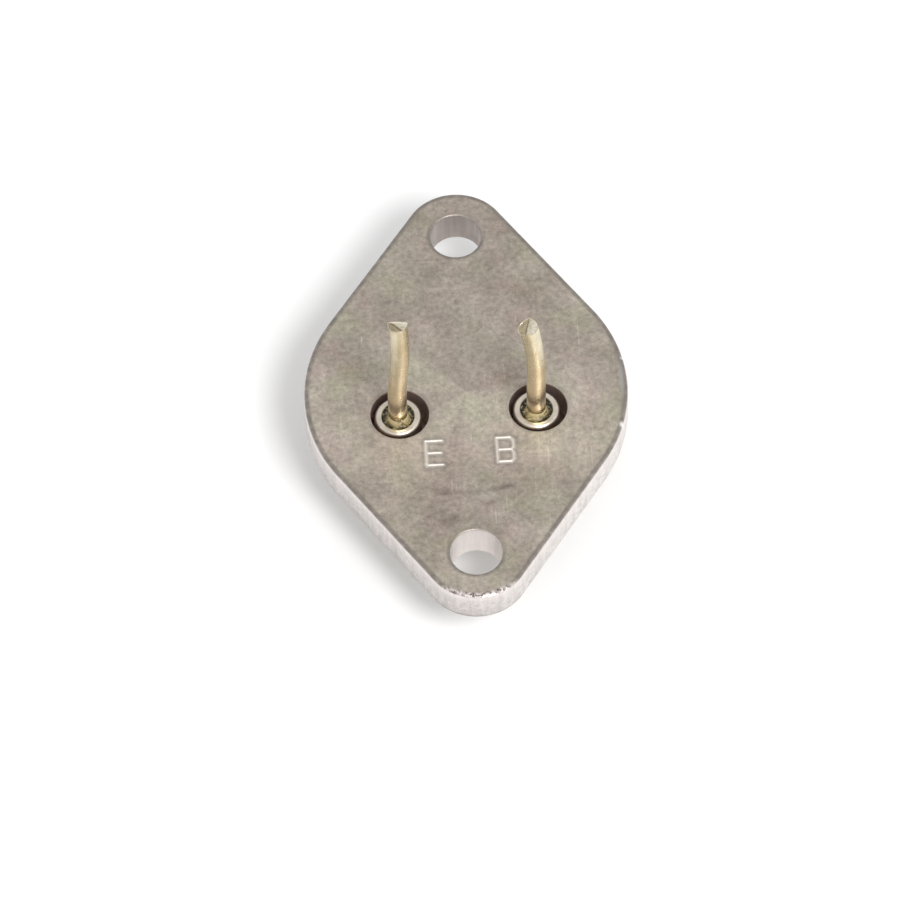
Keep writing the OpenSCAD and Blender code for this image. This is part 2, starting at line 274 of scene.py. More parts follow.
def plate_outline():
    """Normal angle, centre and radius at each point round the plate. The outline is the belt round three
    discs. On an arc the angle turns about one disc; along a straight side the angle stays, while centre
    and radius run from the waist disc to an ear disc."""
    turns = np.array([-side_turn, side_turn, side_turn, np.pi - side_turn, np.pi - side_turn,
                      np.pi + side_turn, np.pi + side_turn, 2 * np.pi - side_turn, 2 * np.pi - side_turn])
    ends = np.array([0, 0, 1, 1, 0, 0, -1, -1, 0])
    counts = [waist_steps, side_steps, ear_steps, side_steps] * 2
    steps = np.concatenate([i + np.arange(n) / n for i, n in enumerate(counts)])
    angle = np.interp(steps, np.arange(9), turns)
    end = np.interp(steps, np.arange(9), ends)
    return angle, ear_y * end, waist_r + (ear_r - waist_r) * np.abs(end)


def wall_grid(angle, centre, radius, inset, height):
    """Rings of a wall carried along an outline: ring j lies inset[j] inside it at height[j].
    centre gives x and y of the outline's centre at each angle."""
    reach = radius[None, :] - inset[:, None]
    x = centre[0] + reach * np.cos(angle)
    y = centre[1] + reach * np.sin(angle)
    z = np.broadcast_to(height[:, None], x.shape)
    return np.stack([x, y, z], axis=2)


def ring_faces(rings, around, first=0):
    """Quads between neighbouring rings of a grid whose rings close on themselves."""
    j, i = np.meshgrid(np.arange(rings - 1), np.arange(around), indexing="ij")
    k = (i + 1) % around
    quads = np.stack([j * around + i, j * around + k, (j + 1) * around + k, (j + 1) * around + i], axis=2)
    return quads.reshape(-1, 4) + first


def stroke_distance(x, y, strokes):
    """Distance of each point from the nearest straight stroke, given by its two ends. The point is dropped
    onto the stroke's line, and onto its nearer end where that falls outside."""
    nearest = np.full(x.shape, np.inf)
    for (ax, ay), (bx, by) in strokes:
        length2 = (bx - ax) ** 2 + (by - ay) ** 2
        along = np.clip(((x - ax) * (bx - ax) + (y - ay) * (by - ay)) / length2, 0, 1)
        nearest = np.minimum(nearest, np.hypot(x - ax - along * (bx - ax), y - ay - along * (by - ay)))
    return nearest


def letter_corners(corners, left, width):
    """Corners of a block letter, given in a unit square and set on the letters' foot line."""
    return [(left + u * width, letter_foot + v * letter_height) for u, v in corners]


E_left = -3.42 * mm
E_width = 1.30 * mm
B_left = 2.16 * mm
B_width = 1.29 * mm
E_corner = letter_corners([(0, 0), (0, 1), (1, 1), (0.9, 0.5), (0, 0.5), (1, 0)], E_left, E_width)
B_corner = letter_corners([(0, 0), (0, 1), (0.85, 1), (1, 0.88), (1, 0.6), (0.88, 0.5), (0, 0.5), (1, 0.38),
                           (1, 0.12), (0.85, 0)], B_left, B_width)
E_strokes = [(E_corner[a], E_corner[b]) for a, b in [(0, 1), (1, 2), (3, 4), (0, 5)]]
B_strokes = [(B_corner[a], B_corner[b]) for a, b in
             [(0, 1), (1, 2), (2, 3), (3, 4), (4, 5), (5, 6), (5, 7), (7, 8), (8, 9), (9, 0)]]


def face_relief(x, y):
    """Height of the seating face. The stamped strokes are round-bottomed grooves with a raised lip, the can's
    weld on the other side shows as a faint ring, and the face rolls by thousandths of a millimetre: sine
    waves across and along it multiplied, and one along its diagonal added."""
    d = stroke_distance(x, y, E_strokes + B_strokes) / stamp_half_width
    groove = -stamp_depth * np.exp(-(d / 0.95) ** 4)
    lip = stamp_lip * np.exp(-((d - 1.6) / 0.45) ** 2)
    r = np.hypot(x, y)
    turn = np.arctan2(y, x)
    weld = -weld_sink * np.exp(-((r - weld_r) / weld_width) ** 2) * (0.6 - 0.4 * np.sin(turn))
    roll = np.sin(x / (1.9 * mm) + 0.6) * np.sin(y / (2.7 * mm)) + np.sin((x + y) / (1.3 * mm))
    return groove + lip + weld + roll_height * roll


outline_angle, outline_y, outline_r = plate_outline()
face_inset, face_drop = quarter_turn(face_edge_r)
back_inset, back_drop = quarter_turn(back_edge_r)
hole_inset, hole_drop = quarter_turn(hole_edge_r, 5)
rim_inset = np.concatenate([[face_edge_r + dirt_shade_band, face_edge_r + edge_land], face_inset,
                            back_inset[::-1], [back_edge_r + edge_land]])
rim_height = np.concatenate([[0, 0], -face_drop, back_drop[::-1] - plate_t, [-plate_t]])
bore_inset = np.concatenate([[hole_edge_r + dirt_shade_band, hole_edge_r + edge_land], hole_inset,
                             hole_inset[::-1], [hole_edge_r + edge_land]])
bore_height = np.concatenate([[0, 0], -hole_drop, hole_drop[::-1] - plate_t, [-plate_t]])

holes = [
    (np.array([0, -ear_y]), mounting_r, mounting_steps),
    (np.array([0, ear_y]), mounting_r, mounting_steps),
    (emitter_place + [lead_hole_shift, 0], lead_hole_r, lead_hole_steps),
    (base_place + [lead_hole_shift, 0], lead_hole_r, lead_hole_steps),
]
walls = [wall_grid(outline_angle, (0, outline_y), outline_r, rim_inset, rim_height)]
for centre, r, around in holes:
    clockwise = np.linspace(0, -2 * np.pi, around, endpoint=False)
    walls.append(wall_grid(clockwise, centre, np.full(around, r), -bore_inset, bore_height))


def inside_plate(x, y, margin):
    """True where a point lies inside the plate's outline and outside its holes by at least the margin. The
    outline there is the waist disc, the straight side or the ear disc, whichever is level with it."""
    side = np.abs(x) * np.cos(side_turn) + np.abs(y) * np.sin(side_turn) < waist_r - margin
    waist = np.hypot(x, y) < waist_r - margin
    ear = np.hypot(x, np.abs(y) - ear_y) < ear_r - margin
    middle = np.abs(y) < ear_y + ear_r * np.sin(side_turn)
    beside_waist = np.abs(np.arctan2(np.abs(y), np.abs(x))) < side_turn
    inside = np.where(beside_waist, waist, np.where(middle, side, ear))
    for centre, r, _ in holes:
        inside &= np.hypot(x - centre[0], y - centre[1]) > r + margin
    return inside


def face_points(step, fine_boxes=(), fine_step=None):
    """Points that fill the plate's flat: staggered rows a step apart, and a fine square grid in each box."""
    rows, columns = int(plate_high.y / step), int(plate_high.x / step)
    j, i = np.meshgrid(np.arange(-rows, rows + 1), np.arange(-columns, columns + 1), indexing="ij")
    x = ((i + 0.5 * (j % 2)) * step).ravel()
    y = (j * step * row_share).ravel()
    keep = inside_plate(x, y, face_margin)
    fine = []
    for x0, x1, y0, y1 in fine_boxes:
        keep &= (x < x0) | (x > x1) | (y < y0) | (y > y1)
        gx, gy = np.meshgrid(np.arange(x0, x1, fine_step), np.arange(y0, y1, fine_step))
        fine.append(np.stack([gx.ravel(), gy.ravel()], axis=1))
    return np.concatenate([np.stack([x[keep], y[keep]], axis=1)] + fine)


def fill_face(loops, loop_ids, inner, first, rim_band):
    """Triangles that fill the flat between the loops and the inner points. loop_ids are the loops' own vertex
    numbers, the inner points are numbered from first, and a hole's loop lies rim_band outside its edge."""
    edges = []
    start = 0
    for loop in loops:
        ids = start + np.arange(len(loop))
        edges += np.stack([ids, np.roll(ids, -1)], axis=1).tolist()
        start += len(loop)
    flat = np.concatenate(loops + [inner])
    unit = plate_high.x
    nearest = 1e-7
    out = delaunay_2d_cdt((flat / unit).tolist(), edges, [], 0, nearest)
    triangles = np.array(out[2])
    numbers = np.concatenate(loop_ids + [first + np.arange(len(inner))])
    origin = np.array([found[0] for found in out[3]])
    place = np.array([tuple(point) for point in out[0]]) * unit
    middle = place[triangles].mean(axis=1)
    ab = place[triangles[:, 1]] - place[triangles[:, 0]]
    ac = place[triangles[:, 2]] - place[triangles[:, 0]]
    keep = np.abs(ab[:, 0] * ac[:, 1] - ab[:, 1] * ac[:, 0]) > sliver
    for centre, r, _ in holes:
        keep &= np.hypot(middle[:, 0] - centre[0], middle[:, 1] - centre[1]) > r + hole_edge_r + rim_band
    return numbers[origin[triangles[keep]]]


# The outline's wall and the holes' walls are grids of rings. The seating face and the back are filled
# with triangles between them, finest round the letters.
letter_boxes = [
    (left - letter_margin, left + width + letter_margin,
     letter_foot - letter_margin, letter_foot + letter_height + letter_margin)
    for left, width in [(E_left, E_width), (B_left, B_width)]
]
points = []
faces = []
first_rings = []
last_rings = []
count = 0
for wall in walls:
    rings, around, _ = wall.shape
    points.append(wall.reshape(-1, 3))
    faces.append(ring_faces(rings, around, count)[:, ::-1])
    first_rings.append(count + np.arange(around))
    last_rings.append(count + (rings - 1) * around + np.arange(around))
    count += rings * around
front = face_points(face_grid, letter_boxes, letter_grid)
back = face_points(back_grid)
points.append(np.column_stack([front, np.zeros(len(front))]))
points.append(np.column_stack([back, np.full(len(back), -plate_t)]))
front_loops = [wall[0, :, :2] for wall in walls]
back_loops = [wall[-1, :, :2] for wall in walls]
front_triangles = fill_face(front_loops, first_rings, front, count, dirt_shade_band)
back_triangles = fill_face(back_loops, last_rings, back, count + len(front), edge_land)[:, ::-1]
points = np.concatenate(points)
wall_depth = np.clip(-points[:, 2] / plate_t, 0, 1)
soil = np.clip((dirt_shade_deepest + points[:, 2]) / dirt_shade_fade, 0, 1)
soil[count:] = 0
soil[np.concatenate(first_rings)] = 0
on_face = points[:, 2] > -no_length
relief = face_relief(points[:, 0], points[:, 1])
relief[:count] *= rim_roll
points[on_face, 2] += relief[on_face]
all_faces = np.concatenate(faces).tolist() + front_triangles.tolist() + back_triangles.tolist()

# A painted highlight by distance from the strokes, grime and painted shade on the rounded edges, and a
# painted light level for each bore. Grime and shade lie mostly on a mounting hole's near edge and thinly
# round a lead hole, give way on the near ear's tip to wear with painted glints, and run as a thin line of
# painted shade beside each stroke.
from_stroke = stroke_distance(points[:, 0], points[:, 1], E_strokes + B_strokes)
stroke_wear = np.exp(-(from_stroke / stroke_bright) ** 2) * on_face
worn = soil * np.clip((-points[:, 1] - wear_glint_from) / wear_glint_fade, 0, 1)
soil -= worn
bore_tone = np.zeros(len(points))
for (centre, r, _), tone in zip(holes, bore_light_levels):
    x, y = centre
    from_hole = np.hypot(points[:, 0] - x, points[:, 1] - y)
    bore_tone[from_hole < r + hole_edge_r] = tone
    near_side = 0.8 - 0.9 * (points[:, 1] - y) / r - 0.2 * (points[:, 0] - x) / r
    soil *= np.where(from_hole < r + 2 * dirt_shade_band, np.clip(near_side, 0.3, 1 if tone > 0.5 else 0.3), 1)
# A thin line of painted shade beside each stroke.
soil += 0.5 * on_face * np.exp(-((from_stroke - beside_stroke) / beside_fade) ** 2)


def mark(piece, name, values):
    """Gives each point of a piece a number that its material can read."""
    layer = piece.data.attributes.new(name, "FLOAT", "POINT")
    layer.data.foreach_set("value", np.asarray(values, np.float32).ravel())


def weld_doubles(piece):
    """Merges the points that lie on one another and turns every face outwards."""
    work = bmesh.new()
    work.from_mesh(piece.data)
    bmesh.ops.remove_doubles(work, verts=work.verts, dist=same_point)
    bmesh.ops.dissolve_degenerate(work, edges=work.edges, dist=no_length)
    bmesh.ops.recalc_face_normals(work, faces=work.faces)
    work.to_mesh(piece.data)
    work.free()


def colour(r, g, b):
    """A colour given as it looks on a screen, turned into the linear one that a shader takes."""
    screen = np.array([r, g, b]) / 255
    return (*np.where(screen < 0.04045, screen / 12.92, ((screen + 0.055) / 1.055) ** 2.4).tolist(), 1)


def ramp(material, factor, *stops):
    """Colours or greys along a factor: each stop is a place from 0 to 1 and its value."""
    made = shader_node(material, "ValToRGB", factor)
    band = made.color_ramp.elements
    while len(band) < len(stops):
        band.new(0.5)
    for element, (place, value) in zip(band, stops):
        element.position = place
        element.color = value if isinstance(value, tuple) else (value, value, value, 1)
    return made


def speckle(material, where, size, detail=3, rough=0.55):
    """Soft noise whose patches are about size millimetres across."""
    scale = 0.5 / (size * mm)
    return shader_node(material, "TexNoise", Vector=where, Scale=scale, Detail=detail, Roughness=rough)


def mottle(material, where, size, low, high, detail=3, rough=0.55, edge=0.3):
    """Soft patches about size millimetres across, from one colour or grey to another. The noise is cut off
    at edge below, and as far from 1 above."""
    return ramp(material, speckle(material, where, size, detail, rough), (edge, low), (1 - edge, high))


def blend(material, factor, first, second, mode="MIX"):
    """The second colour laid over the first as far as the factor says."""
    return shader_node(material, "MixRGB", factor, first, second, blend_type=mode)


def toned(material, base, *layers):
    """The base colour multiplied by each layer in turn."""
    for layer in layers:
        base = blend(material, 1.0, base, layer, "MULTIPLY")
    return base


def marked(material, name):
    """The number that a mark gave to each point."""
    return shader_node(material, "Attribute", attribute_name=name).outputs["Fac"]


def spot(material, where, centre, reach):
    """1 at a centre on the face, fading to 0 on an ellipse with those two reaches."""
    inverse = np.array([1 / reach[0], 1 / reach[1], 0])
    shift = (-np.array([*centre, 0]) * inverse).tolist()
    placed = shader_node(material, "Mapping", where, Location=shift, Scale=inverse.tolist())
    away = shader_node(material, "VectorMath", placed, operation="LENGTH").outputs["Value"]
    return shader_node(material, "MapRange", away, 0.0, 1.0, 1.0, 0.0, interpolation_type="SMOOTHSTEP")


def relief_normal(material, height, depth, under=None):
    """Fine relief of that depth in millimetres, from a height between 0 and 1."""
    made = shader_node(material, "Bump", Distance=depth * mm, Height=height)
    if under is not None:
        material.node_tree.links.new(under.outputs[0], made.inputs["Normal"])
    return made


def metal(name):
    """An empty metal material: the material, its Principled shader and its object coordinates."""
    material, out = bare_material(name)
    shader = shader_node(material, "BsdfPrincipled", Metallic=1.0)
    material.node_tree.links.new(shader.outputs[0], out.inputs["Surface"])
    return material, shader, shader_node(material, "TexCoord").outputs["Object"]


def plug_in(material, shader, **sources):
    """Links colour, roughness or normal nodes into a shader's sockets."""
    for socket, node in sources.items():
        material.node_tree.links.new(node.outputs[0], shader.inputs[socket.replace("_", " ")])


# Smears and painted lead shadows: centre and reach on the face in millimetres, and the tint that each lays
# over it.
smudges_and_lead_shadows = [
    # Painted shadows of the emitter lead and the base lead, up and to the left of their feet.
    ((-8.9, 2.5), (2.6, 2.2), colour(234, 233, 226)),
    ((3.0, 0.9), (1.6, 1.8), colour(243, 240, 236)),
    # Smears and marks on the face.
    ((-1.2, 6.9), (2.9, 2.4), colour(243, 241, 243)),
    ((-5.5, 8.9), (1.2, 0.7), colour(238, 239, 242)),
    ((-2.5, -9.5), (0.9, 0.4), colour(216, 213, 214)),
    ((2.4, -9.2), (1.4, 0.4), colour(222, 217, 221)),
    ((1.2, -10.5), (1.0, 0.35), colour(218, 212, 212)),
    ((-1.9, -11.9), (1.1, 0.6), colour(226, 226, 219)),
    ((4.6, 9.8), (2.4, 1.2), colour(246, 238, 240)),
    ((-1.5, -14.0), (2.6, 1.3), colour(240, 240, 230)),
]
# Nicks on the right edge: y, distance inside the waist and reach in millimetres, and their shade.
nicks = [
    (-3.92, 0.12, (0.30, 0.40), colour(250, 248, 246)),
    (2.40, 0.10, (0.22, 0.26), colour(222, 221, 219)),
    (0.40, 0.46, (0.30, 2.60), colour(170, 169, 163)),
]


def plate_nickel():
    """Matt nickel over tumbled steel: grey-brown patches a few millimetres wide, a lighter band across the
    lead holes that is partly rubbing and partly painted sheen, fine grain, scratches, smears and painted
    shadows of the leads, and along the can's weld a darker line and a lighter ring, partly stain and partly
    painted shade and highlight. Grime and painted shade lie along the rounded edges and beside the stamped
    strokes, which carry a painted highlight, and the near ear's tip shows wear with painted glints. Below
    them the sheared wall is bright and streaked, its torn lower part is duller, and painted shade darkens its
    foot and the lower part of its left side. Each bore's wall is painted at its own light level."""
    material, shader, where = metal("tumbled_nickel")
    shader.inputs["Metallic"].default_value = 0.65
    patch = ramp(material, speckle(material, where, 2.6, 4),
                 (0.30, colour(169, 159, 148)), (0.72, colour(200, 191, 180)))
    cloud = mottle(material, where, 0.8, 0.88, 1.09)
    warmth = ramp(material, speckle(material, where, 2.1, 2), (0.34, colour(255, 248, 249)),
                  (0.50, colour(252, 251, 248)), (0.66, colour(249, 253, 243)))
    grain = mottle(material, where, 0.22, 0.62, 1.28, 4, 0.75, edge=0.25)

    wavy = shader_node(material, "VectorMath", speckle(material, where, 2.2, 2).outputs["Color"],
                       (0.5, 0.5, 0.5), operation="SUBTRACT")
    wavy = shader_node(material, "VectorMath", wavy, (1.8 * mm, 1.8 * mm, 0), where, operation="MULTIPLY_ADD")
    # Bands along the face's length, lightest across the lead holes: partly rubbing, partly painted sheen.
    along = shader_node(material, "SeparateXYZ", wavy).outputs["Y"]
    along = shader_node(material, "MapRange", along, -20 * mm, 20 * mm, 0.0, 1.0)
    rubbed = ramp(material, along, (0.13, 1.0), (0.20, 0.92), (0.275, 0.92), (0.35, 1.13), (0.43, 1.11),
                  (0.50, 1.05), (0.58, 0.97), (0.66, 1.0), (0.78, 0.93))
    face = toned(material, patch, cloud, warmth, grain, rubbed)

    level = shader_node(material, "VectorMath", where, (1, 1, 0), operation="MULTIPLY")
    from_axis = shader_node(material, "VectorMath", level, operation="LENGTH").outputs["Value"]
    # Along the can's weld a darker line with a lighter ring outside it: partly stain, partly painted shade
    # and highlight of the weld's shallow groove.
    across_weld = shader_node(material, "MapRange", from_axis, weld_r - 1 * mm, weld_r + 1 * mm, 0.0, 1.0)
    weld_stain_and_shading = ramp(material, across_weld, (0.28, 1.0), (0.46, 0.80), (0.60, 1.0), (0.75, 1.08), (0.95, 1.0))
    low_weld = spot(material, wavy, (-1.2 * mm, -weld_r), (8.0 * mm, 3.6 * mm))
    high_weld = spot(material, wavy, (-1.2 * mm, weld_r), (4.5 * mm, 2.6 * mm))
    weld_shown = maths(material, "MAXIMUM", low_weld, maths(material, "MULTIPLY", high_weld, 0.5))
    face = blend(material, weld_shown, face, weld_stain_and_shading, "MULTIPLY")
    # Each tint is laid over the face: painted lead shadows first, then smears.
    for centre, reach, tint in smudges_and_lead_shadows:
        smudge_and_shadow = spot(material, wavy, np.array(centre) * mm, np.array(reach) * mm)
        face = blend(material, smudge_and_shadow, face, tint, "MULTIPLY")

    pinhole = ramp(material, speckle(material, where, 0.5, 2, 0.8), (0.25, 0.72), (0.33, 1.0))
    drawn_out = shader_node(material, "Mapping", where, Rotation=(0, 0, 0.7), Scale=(1, 0.05, 1))
    scratch = ramp(material, speckle(material, drawn_out, 0.10, 2), (0.65, 1.0), (0.74, 1.26))
    crossed = shader_node(material, "Mapping", where, Rotation=(0, 0, -0.4), Scale=(0.04, 1, 1))
    cross_scratch = ramp(material, speckle(material, crossed, 0.12, 2), (0.26, 0.84), (0.35, 1.0))
    face = toned(material, face, pinhole, scratch, cross_scratch)

    depth = marked(material, "wall_depth")
    bore = marked(material, "bore_tone")
    # The sheared wall darkens at its foot in painted shade, and on the left side, away from the lamp, painted
    # shade also darkens its lower part.
    lit_side_wall = ramp(material, depth, (0.05, colour(231, 224, 220)), (0.84, colour(226, 220, 216)),
                 (0.91, colour(190, 184, 180)), (1.0, colour(194, 186, 177)))
    shaded_side_wall = ramp(material, depth, (0.05, colour(232, 224, 221)), (0.25, colour(214, 207, 203)),
                  (0.50, colour(209, 202, 199)), (0.76, colour(205, 198, 195)), (0.84, colour(199, 192, 189)),
                  (0.91, colour(134, 128, 125)), (1.0, colour(194, 186, 177)))
    sideways = shader_node(material, "SeparateXYZ", wavy).outputs["X"]
    left_side_shade = shader_node(material, "MapRange", sideways, 6 * mm, -1 * mm, 0.0, 1.0)
    wall = blend(material, left_side_shade, lit_side_wall, shaded_side_wall)
    # Each bore's wall is painted at its own light level: the near mounting hole lit, the far one dimmer and
    # the lead holes dark like shaded gaps. Bore walls also get lighter deeper down.
    bore_wall_lighting = ramp(material, bore, (0.30, colour(166, 144, 138)), (0.65, colour(202, 192, 188)),
                 (1.0, colour(230, 222, 218)))
    lighter_deeper = ramp(material, depth, (0.10, 0.92), (0.80, 1.06))
    in_bore = maths(material, "MULTIPLY", bore, 4.0, use_clamp=True)
    upright = shader_node(material, "Mapping", where, Scale=(1, 1, 0.07))
    streak = mottle(material, upright, 0.25, 0.86, 1.06, 3, 0.6, edge=0.28)
    crumb = mottle(material, where, 0.20, 0.74, 1.14, 4, 0.7, edge=0.28)
    tearing = blend(material, ramp(material, depth, (0.12, 0.25), (0.40, 1.0)), (1, 1, 1, 1), crumb)
    wall = blend(material, in_bore, toned(material, wall, tearing), toned(material, bore_wall_lighting, lighter_deeper))
    wall = toned(material, wall, streak)
    on_wall = ramp(material, depth, (0.010, 0.0), (0.040, 1.0))
    base = blend(material, on_wall, face, wall)
    # Grime and painted shade in patches along the rounded edges and beside the strokes.
    gathered = ramp(material, speckle(material, where, 0.35, 3), (0.30, 0.45), (0.62, 1.0))
    dirt_shade_share = toned(material, gathered, marked(material, "soil"))
    base = blend(material, dirt_shade_share, base, colour(132, 126, 120))
    # On the near ear's tip: wear, with painted glints in dark and bright specks.
    rubs_and_glints = ramp(material, speckle(material, where, 0.16, 3, 0.7), (0.40, colour(104, 97, 94)),
                (0.47, colour(160, 150, 146)), (0.56, colour(232, 222, 219)))
    base = blend(material, marked(material, "worn"), base, rubs_and_glints)
    # A painted highlight in the stamped strokes.
    base = blend(material, marked(material, "stroke_wear"), base, colour(226, 220, 212))
    at_edge = ramp(material, depth, (0.08, 1.0), (0.26, 0.0))
    for y, inset, reach, shade in nicks:
        x = np.sqrt(waist_r ** 2 - (y * mm) ** 2) - inset * mm
        nick = spot(material, where, (x, y * mm), np.array(reach) * mm)
        base = blend(material, toned(material, nick, at_edge), base, shade)

    wall_dull = ramp(material, depth, (0.10, 0.30), (0.58, 0.36), (0.66, 0.52))
    dull = blend(material, on_wall, mottle(material, where, 0.9, 0.42, 0.58, 4), wall_dull)
    coarse = relief_normal(material, speckle(material, where, 0.7, 3), 0.012)
    fine = relief_normal(material, speckle(material, where, 0.12, 4, 0.7), 0.006, coarse)
    sheared = relief_normal(material, toned(material, streak, tearing, on_wall), 0.030, fine)
    plug_in(material, shader, Base_Color=base, Roughness=dull, Normal=sheared)
    return material


stamped_plate = shape("stamped_plate", points.tolist(), all_faces, plate_nickel())
mark(stamped_plate, "wall_depth", wall_depth)
mark(stamped_plate, "bore_tone", bore_tone)
mark(stamped_plate, "soil", soil)
mark(stamped_plate, "worn", worn)
mark(stamped_plate, "stroke_wear", stroke_wear)
weld_doubles(stamped_plate)
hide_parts("header_plate")
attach(stamped_plate, "root")

# ---- Can -------------------------------------------------------------------------------
# A cap drawn from thin steel, nickel plated, with a turned-out flange that is welded all round
# to the back of the plate. It stands on its flat top, which is the underside here.

can_low, can_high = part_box("can")
can_r = 9.9 * mm
can_flange_r = can_high.x
can_corner_r = 1.5 * mm
can_foot_r = 0.4 * mm
can_sheet = 0.6 * mm
can_lip_r = 0.15 * mm
can_bevel = 0.05 * mm
can_steps = 180


def arc(centre_r, centre_h, r, start, end, steps=9):
    """Points of an arc in a turned piece's section, from one angle in degrees to another."""
    a = np.radians(np.linspace(start, end, steps))
    return np.stack([centre_r + r * np.cos(a), centre_h + r * np.sin(a)], axis=1)


def turned(name, parts, around, centre, material):
    """A piece of revolution. Its section is a closed run of radius and height points; each is carried round
    the upright axis through the centre, and points on the axis are merged into one."""
    section = np.concatenate([np.atleast_2d(part) for part in parts])
    a = np.linspace(0, 2 * np.pi, around, endpoint=False)
    x = centre[0] + section[:, :1] * np.cos(a)
    y = centre[1] + section[:, :1] * np.sin(a)
    z = np.broadcast_to(section[:, 1:], x.shape)
    j, i = np.meshgrid(np.arange(len(section)), np.arange(around), indexing="ij")
    l, k = (j + 1) % len(section), (i + 1) % around
    quads = np.stack([j * around + i, j * around + k, l * around + k, l * around + i], axis=2)
    piece = shape(name, np.stack([x, y, z], axis=2).reshape(-1, 3).tolist(),
                  quads.reshape(-1, 4).tolist(), material)
    weld_doubles(piece)
    return piece


def can_nickel():
    """Satin nickel on drawn sheet: streaks run up the wall, and the flat top is softly brushed and patchy."""
    material, shader, where = metal("drawn_nickel")
    patch = mottle(material, where, 3.2, colour(176, 169, 160), colour(205, 199, 190), 4)
    stretch = shader_node(material, "Mapping", where, Scale=(1, 1, 0.06))
    streak = mottle(material, stretch, 0.10, 0.88, 1.08, edge=0.25)
    rubbed = ramp(material, speckle(material, where, 0.6, 3, 0.7), (0.62, 1.0), (0.75, 1.10))
    base = toned(material, patch, streak, rubbed)
    dull = mottle(material, where, 1.1, 0.28, 0.42, 4)
    drawn = relief_normal(material, speckle(material, stretch, 0.12, 3), 0.004)
    fine = relief_normal(material, speckle(material, where, 0.35, 4), 0.004, drawn)
    plug_in(material, shader, Base_Color=base, Roughness=dull, Normal=fine)
    return material


flange_z = plate_low.z
top_z = can_low.z
foot_out = can_foot_r + can_sheet
can_section = [
    [[0, top_z], [0.25 * can_r, top_z], [0.5 * can_r, top_z], [0.7 * can_r, top_z],
     [can_r - can_corner_r - can_bevel, top_z]],
    arc(can_r - can_corner_r, top_z + can_corner_r, can_corner_r, -90, 0, 12),
    arc(can_r + can_foot_r, flange_z - foot_out, can_foot_r, 180, 90, 9),
    arc(can_flange_r - can_lip_r, flange_z - can_sheet + can_lip_r, can_lip_r, -90, 0, 5),
    [[can_flange_r, flange_z - can_bevel], [can_flange_r - can_bevel, flange_z]],
    arc(can_r + can_foot_r, flange_z - foot_out, foot_out, 90, 180, 9),
    arc(can_r - can_corner_r, top_z + can_corner_r, can_corner_r - can_sheet, 0, -90, 9),
    [[0, top_z + can_sheet]],
]
drawn_can = turned("drawn_can", can_section, can_steps, (0, 0), can_nickel())
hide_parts("can")
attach(drawn_can, "root")

# ---- Eyelets ---------------------------------------------------------------------------
# A short flanged tube of nickel-plated steel stands in each lead hole, a little below the
# seating face. Its flange is brazed to the back of the plate, and it holds the glass.

eyelet_r = 1.85 * mm
eyelet_round = 0.14 * mm
eyelet_shoulder = 0.30 * mm
eyelet_flange_t = 0.3 * mm
eyelet_root_r = 0.1 * mm
eyelet_flange_edge = 0.06 * mm
ring_steps = 96
glass_low, glass_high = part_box("emitter_glass")
eyelet_bore_r = (glass_high.x - glass_low.x) / 2


def eyelet_nickel():
    """Bright warm nickel with faint turning rings and a little tarnish."""
    material, shader, where = metal("eyelet_nickel")
    patch = mottle(material, where, 0.5, colour(219, 209, 193), colour(244, 237, 223))
    tarnish = ramp(material, speckle(material, where, 0.16, 3, 0.7), (0.27, 0.80), (0.40, 1.0))
    dull = mottle(material, where, 0.3, 0.30, 0.42)
    fine = relief_normal(material, speckle(material, where, 0.15, 3), 0.005)
    plug_in(material, shader, Base_Color=toned(material, patch, tarnish), Roughness=dull, Normal=fine)
    return material


def silver_braze():
    """Pale silver alloy that has run between two parts, with a rippled, slightly warm skin."""
    material, shader, where = metal("silver_braze")
    patch = mottle(material, where, 0.4, colour(205, 200, 188), colour(232, 228, 218))
    dull = mottle(material, where, 0.2, 0.24, 0.40)
    ripple = relief_normal(material, speckle(material, where, 0.18, 2), 0.010)
    plug_in(material, shader, Base_Color=patch, Roughness=dull, Normal=ripple)
    return material


def dress(material, *names):
    """Gives a finish to CAD nodes whose shape stays as it is."""
    for name in names:
        node = frame["nodes"][name]
        if not node.material_slots:
            node.data.materials.append(material)
        for slot in node.material_slots:
            slot.material = material


eyelet_finish = eyelet_nickel()
lead_places = {"emitter": emitter_place, "base": base_place}
for end, place in lead_places.items():
    ring_low, ring_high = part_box(end + "_eyelet")
    flange_r = (ring_high.x - ring_low.x) / 2
    flange_up = ring_low.z + eyelet_flange_t
    root = eyelet_root_r
    edge = eyelet_flange_edge
    rim = ring_high.z
    section = [
        arc(eyelet_bore_r + eyelet_round, rim - eyelet_round, eyelet_round, 180, 90, 6),
        arc(eyelet_r - eyelet_shoulder, rim - eyelet_shoulder, eyelet_shoulder, 90, 0, 9),
        arc(eyelet_r + root, flange_up + root, root, 180, 270, 5),
        arc(flange_r - edge, flange_up - edge, edge, 90, 0, 4),
        arc(flange_r - edge, ring_low.z + edge, edge, 0, -90, 4),
        [[eyelet_bore_r, ring_low.z]],
    ]
    sleeve = turned(end + "_sleeve", section, ring_steps, place, eyelet_finish)
    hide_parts(end + "_eyelet")
    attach(sleeve, "root")
dress(silver_braze(), "emitter_eyelet_braze", "base_eyelet_braze", "spreader_braze")

# ---- Glass seals -----------------------------------------------------------------------
# Glass is melted between each lead and its eyelet, and keeps the can airtight. It wets both metals,
# so its face is hollow, and it climbs the lead. Beside the lead its colour is the lead's gold, partly showing
# through where it is thin and partly a painted reflection, and further out painted shade darkens it.

lead_r = mounts["emitter_lead"]["dims"]["r_mm"] * mm
wetting = 0.01 * mm
glass_hollow = 0.14 * mm
glass_climb = 0.42 * mm
climb_fade = 0.22


